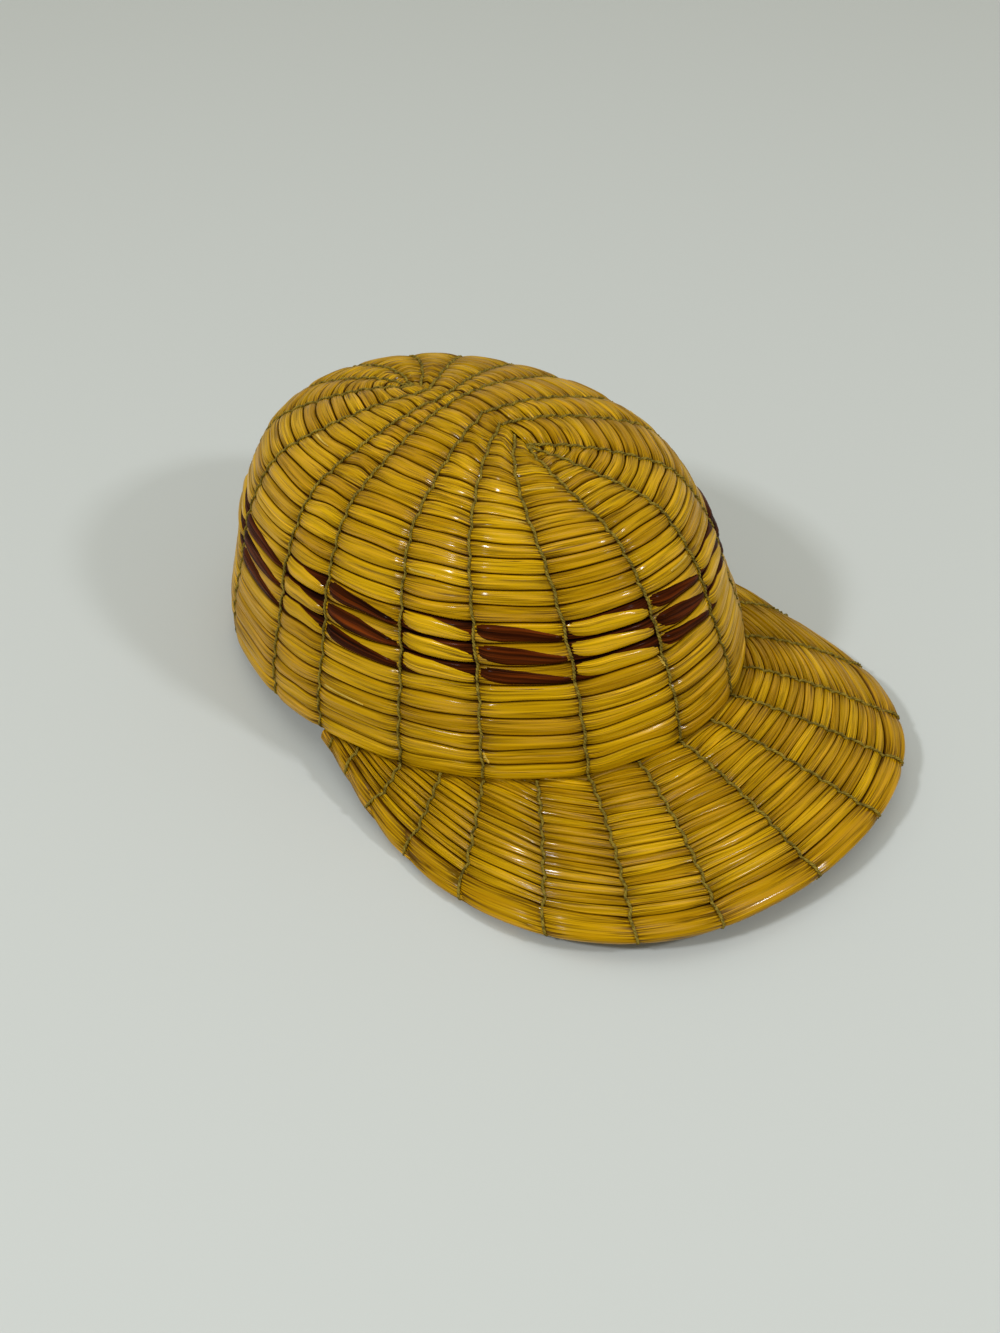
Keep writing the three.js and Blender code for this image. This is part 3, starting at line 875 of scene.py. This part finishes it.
# Stitch cords
# Two-ply olive-brown twine that sews the rows together. Each cord runs down over the rows, dips into the
# groove after every row, and wraps round the rim or the edge of the peak to come back on the other side.
PLY_RADIUS, PLY_TWIST_RADIUS, PLY_TURN_LENGTH = 0.3, 0.27, 2.8
CORD_STEP, FEWEST_CORD_STEPS = 0.45, 8
CORD_SLANT = 0.4
RIM_WRAP, RIM_WRAP_LEVEL = 0.6, 0.8
POLE_RING, POLE_RING_STEPS = 1.7, 40
WRAP_START, WRAP_STEPS = 0.2, 8
STITCH_STEPS, STITCH_END = 8, 0.75
CORD_TOP_SHARE, CORD_DIP_SHARE, CORD_DIP_POWER = 0.45, 0.55, 2.2
CROWN_CORD_SINK, PEAK_CORD_SINK, EDGE_CORD_LIFT = 0.25, 0.05, 0.1
EDGE_WRAP = 1.14
CORD_MOTTLE_SCALE, CORD_MOTTLE_SPAN = 700.0, (0.3, 0.7)
CORD_ROUGHNESS, CORD_GLOSS = 0.7, 0.2

cord_twine, cord_shader = new_material("cord_twine")
cord_tree = cord_twine.node_tree
cord_place = wire(cord_tree, "ShaderNodeTexCoord", {})
cord_noise = wire(cord_tree, "ShaderNodeTexNoise", {
    "Vector": cord_place.outputs["Object"], "Scale": CORD_MOTTLE_SCALE, "Detail": 2.0,
})
cord_dark, cord_pale = (0.075, 0.05, 0.002, 1), (0.3, 0.21, 0.02, 1)
cord_mix = ramped(cord_tree, cord_noise.outputs["Fac"], *CORD_MOTTLE_SPAN, 0, 1)
cord_tree.links.new(mixed(cord_tree, "MIX", cord_mix, cord_dark, cord_pale), cord_shader.inputs["Base Color"])
cord_shader.inputs["Roughness"].default_value = CORD_ROUGHNESS
cord_shader.inputs["Specular IOR Level"].default_value = CORD_GLOSS


def even_path(points, sides):
    lengths = np.linalg.norm(np.diff(points, axis=0), axis=1)
    place = np.concatenate([[0], np.cumsum(lengths)])
    even = np.linspace(0, place[-1], max(int(place[-1] / CORD_STEP), FEWEST_CORD_STEPS))
    path = np.stack([np.interp(even, place, points[:, axis]) for axis in range(3)], 1)
    out = np.stack([np.interp(even, place, sides[:, axis]) for axis in range(3)], 1)
    return path, out, even


def twist(path, out, even, phase):
    ahead = unit(np.gradient(path, axis=0))
    across = unit(np.cross(ahead, out))
    lift = np.cross(across, ahead)
    angle = (even / PLY_TURN_LENGTH * 2 * math.pi + phase)[:, None]
    return path + PLY_TWIST_RADIUS * (np.cos(angle) * across + np.sin(angle) * lift)


def cord_piece(name, paths):
    curve = bpy.data.curves.new(name, "CURVE")
    curve.dimensions = "3D"
    curve.bevel_depth = PLY_RADIUS * MM
    curve.bevel_resolution = 1
    curve.use_fill_caps = True
    for path, out, even in paths:
        for phase in (0, math.pi):
            points = at_rest(twist(path, out, even, phase))
            spline = curve.splines.new("POLY")
            spline.points.add(len(points) - 1)
            spline.points.foreach_set("co", np.column_stack([points, np.ones(len(points))]).ravel())
    drawn = placed(name + "_line", curve)
    mesh = bpy.data.meshes.new_from_object(drawn.evaluated_get(bpy.context.evaluated_depsgraph_get()))
    bpy.data.objects.remove(drawn)
    bpy.data.curves.remove(curve)
    new_piece(name, mesh, cord_twine)


def cord_over(across, half):
    dip = CORD_TOP_SHARE + CORD_DIP_SHARE * (1 - np.abs(across) ** CORD_DIP_POWER)
    return half * dip + PLY_TWIST_RADIUS


def stitch_run(rows):
    across = np.linspace(-1, STITCH_END, STITCH_STEPS)
    return np.repeat(rows, STITCH_STEPS), np.tile(across, len(rows))


def slanted(row, across):
    return CORD_SLANT * across * np.where(row % 2 == 0, 1, -1)


def crown_cord(line, side):
    row, across = stitch_run(np.arange(ROWS))
    stitch = np.full(len(row), float(line))
    column = stitch + slanted(row, across) / cell_length[row, line]
    half, _, _ = bundle_shape(row, stitch)
    over = np.where((row == 0) & (across < 0), 0, across)
    points = row_point(row, column, across, side * cord_over(over, half - CROWN_CORD_SINK))
    falls = (row_edges[row] + row_edges[row + 1]) / 2
    sides = crown_outward(line_turn(np.full(len(row), line), falls), falls) * side
    if side > 0:
        wrap = np.linspace(WRAP_START, math.pi, WRAP_STEPS)[:, None]
        rim = row_point(np.array([ROWS - 1]), stitch[:1], np.full(1, RIM_WRAP_LEVEL), np.zeros(1))
        round_rim = np.cos(wrap) * sides[-1] - np.sin(wrap) * np.array((0, 0, 1.0))
        points = np.vstack([points, rim + RIM_WRAP * round_rim])
        sides = np.vstack([sides, round_rim])
    return even_path(points, sides)


def pole_ring(turn):
    where, top = np.full(1, turn), np.full(1, RIDGE_FALL)
    up = crown_outward(where, top)[0]
    angle = np.linspace(0, 2 * math.pi, POLE_RING_STEPS)[:, None]
    level = np.cross(up, (1.0, 0, 0))
    ring = np.cos(angle) * (1.0, 0, 0) + np.sin(angle) * level / np.linalg.norm(level)
    middle = crown_skin(where, top)[0] + up * (PINCHED_HALF - CROWN_WALL / 2)
    return even_path(middle + POLE_RING * ring, np.tile(up, (len(ring), 1)))


outer_paths = [crown_cord(line, 1) for line in range(SEGMENTS)] + [pole_ring(0.0), pole_ring(math.pi)]
cord_piece("crown_stitches", outer_paths)
cord_piece("crown_inner_stitches", [crown_cord(line, -1) for line in range(SEGMENTS)])


def peak_cord(line):
    row, across = stitch_run(np.arange(PEAK_ROWS)[::-1])
    across = np.where(row == 0, (across + 1) * EDGE_WRAP - 1, across)
    outer_offset = np.where(row == 0, EDGE_SCALLOP, peak_offsets[row])
    offset = peak_offsets[row + 1] + (outer_offset - peak_offsets[row + 1]) * (1 + across) / 2
    along = on_line(peak_line_seam[line], peak_line_edge[line], offset)
    share = 1 - offset * row_spread(along) / peak_width(along)
    keep = share > 0
    place = (along + slanted(row, across) / PEAK_HALF_RUN)[keep]
    half = np.where(row == 0, EDGE_PINCHED + EDGE_CORD_LIFT, PEAK_PINCHED - PEAK_CORD_SINK)
    height = cord_over(across, half)[keep]
    top = peak_point(place, share[keep], height)
    under = peak_point(place, share[keep], -height)
    up = np.tile((0, 0, 1.0), (len(top), 1))
    return even_path(np.vstack([top, under[::-1]]), np.vstack([up, -up]))


cord_piece("peak_stitches", [peak_cord(line) for line in range(PEAK_LINES)])

# Floor, light and camera
# A pale table under soft light from above, seen from in front of the wearer's right side.
TABLE_HALF = 4
TABLE_COLOUR, TABLE_ROUGHNESS = (0.53, 0.545, 0.515, 1), 0.6
LAMPS_PLACE_SIZE_POWER = (
    ("front_light", (0.46, -1.41, 1.34), 0.2, 12),
    ("left_light", (-1.38, 0.145, 1.44), 0.2, 17),
    ("top_light", (0, 0, 2.2), 1.6, 9),
)
LAMP_COLOUR = (0.96, 1, 1.07)
LAMP_TARGET = Vector((0, 0, 0.05))
ROOM_COLOUR, ROOM_BRIGHTNESS = (0.84, 0.83, 0.72, 1), 0.55

floor_shape = bmesh.new()
bmesh.ops.create_grid(floor_shape, x_segments=1, y_segments=1, size=TABLE_HALF)
floor_mesh = made_mesh("floor", floor_shape)
floor = placed("floor", floor_mesh)
table_white, table_shader = new_material("table_white")
table_shader.inputs["Base Color"].default_value = TABLE_COLOUR
table_shader.inputs["Roughness"].default_value = TABLE_ROUGHNESS
floor_mesh.materials.append(table_white)


def soft_light(name, place, size, power):
    lamp = bpy.data.lights.new(name, "AREA")
    lamp.energy = power
    lamp.color = LAMP_COLOUR
    lamp.size = size
    holder = placed(name, lamp)
    holder.location = place
    holder.rotation_euler = (LAMP_TARGET - Vector(place)).to_track_quat("-Z", "Y").to_euler()


for lamp_row in LAMPS_PLACE_SIZE_POWER:
    soft_light(*lamp_row)
sky = bpy.data.worlds.new("room")
sky.use_nodes = True
sky.node_tree.nodes["Background"].inputs["Color"].default_value = ROOM_COLOUR
sky.node_tree.nodes["Background"].inputs["Strength"].default_value = ROOM_BRIGHTNESS
bpy.context.scene.world = sky
bpy.context.scene.view_settings.view_transform = "Standard"

CAMERA_TURN, CAMERA_RISE, CAMERA_ROLL = (math.radians(angle) for angle in (-45.68, 41.89, 0.61))
CAMERA_DISTANCE = 0.564
CAMERA_TARGET = Vector((-0.0195, 0.0002, 0.0191))
FOCAL_PIXELS, FRAME_HEIGHT_PIXELS = 1600, 1333
SENSOR_WIDTH, NEAREST_SEEN = 36, 0.01
view_back = Vector((
    math.sin(CAMERA_TURN) * math.cos(CAMERA_RISE),
    -math.cos(CAMERA_TURN) * math.cos(CAMERA_RISE),
    math.sin(CAMERA_RISE),
))
lens = bpy.data.cameras.new("photo_view")
lens.sensor_width = SENSOR_WIDTH
lens.lens = SENSOR_WIDTH * FOCAL_PIXELS / FRAME_HEIGHT_PIXELS
lens.clip_start = NEAREST_SEEN
camera = placed("photo_view", lens)
camera.matrix_world = (
    Matrix.Translation(CAMERA_TARGET + CAMERA_DISTANCE * view_back)
    @ view_back.to_track_quat("Z", "Y").to_matrix().to_4x4()
    @ Matrix.Rotation(CAMERA_ROLL, 4, "Z")
)
bpy.context.scene.camera = camera
